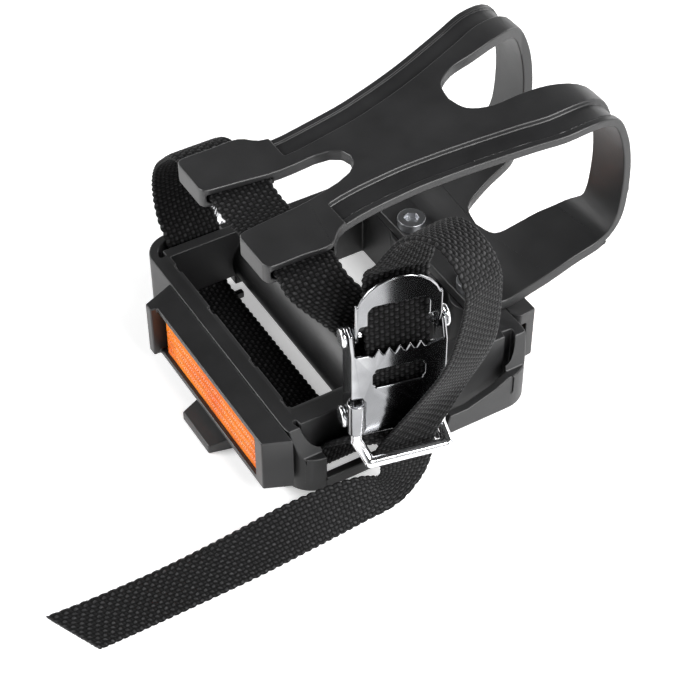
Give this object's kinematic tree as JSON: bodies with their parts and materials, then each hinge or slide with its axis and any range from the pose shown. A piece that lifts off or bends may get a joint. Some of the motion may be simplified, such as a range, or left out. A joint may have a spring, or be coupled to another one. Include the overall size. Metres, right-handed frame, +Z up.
{
  "type": "bicycle pedal",
  "caption": "Resin bicycle pedal with a toe clip over the shoe, a webbing strap in a sprung-lever buckle, amber reflectors front and rear, and a turning threaded spindle.",
  "frame": {"origin": "on the spindle's axis, at the shoulder that seats against the crank", "axes": "+X outboard along the spindle, away from the crank; +Y towards the toe clip's nose; +Z up, out of the face that the shoe stands on"},
  "size_m": [0.1583, 0.1921, 0.1096],
  "materials": {
    "body_resin": "moulded resin with a fine grain",
    "housing_resin": "moulded resin, slightly smoother than the body",
    "clip_resin": "moulded resin with a soft sheen on its ribs",
    "cap_resin": "moulded resin",
    "amber_lens": "clear amber plastic with prisms behind",
    "plated_steel": "zinc plated",
    "spindle_steel": "turned and plated",
    "bearing_steel": "hardened and ground",
    "ball_steel": "polished",
    "seal_rubber": "moulded rubber",
    "webbing": "woven nylon webbing, 18 mm wide",
    "buckle_chrome": "bright chrome plate"
  },
  "bodies": {
    "pedal": {"pedal_body": "body_resin", "rear_reflector_housing": "housing_resin", "rear_reflector_lens": "amber_lens", "front_reflector_housing": "housing_resin", "front_reflector_lens": "amber_lens", "toe_clip": "clip_resin", "clip_bolts": "plated_steel", "clip_washers": "plated_steel", "clip_nuts": "plated_steel", "spindle_seal": "seal_rubber", "inner_cup": "bearing_steel", "inner_balls": "ball_steel", "outer_cup": "bearing_steel", "outer_balls": "ball_steel", "dust_cap": "cap_resin", "toe_strap": "webbing", "buckle_frame": "buckle_chrome", "lever_pin": "buckle_chrome", "strap_pin": "buckle_chrome", "buckle_bail": "buckle_chrome"},
    "spindle": {"spindle": "spindle_steel", "outer_cone": "bearing_steel", "keyed_washer": "plated_steel", "lock_nut": "plated_steel"},
    "lever": {"buckle_lever": "buckle_chrome"}
  },
  "joints": [
    {"name": "spindle_turn", "type": "hinge", "parent": "pedal", "child": "spindle", "pos_m": [0, 0, 0], "axis": [1, 0, 0], "continuous": true},
    {"name": "lever_lift", "type": "hinge", "parent": "pedal", "child": "lever", "pos_m": [0.1095, -0.0122, 0.049], "axis": [0.225, 0.9744, 0], "range_deg": [0, 60]}
  ]
}
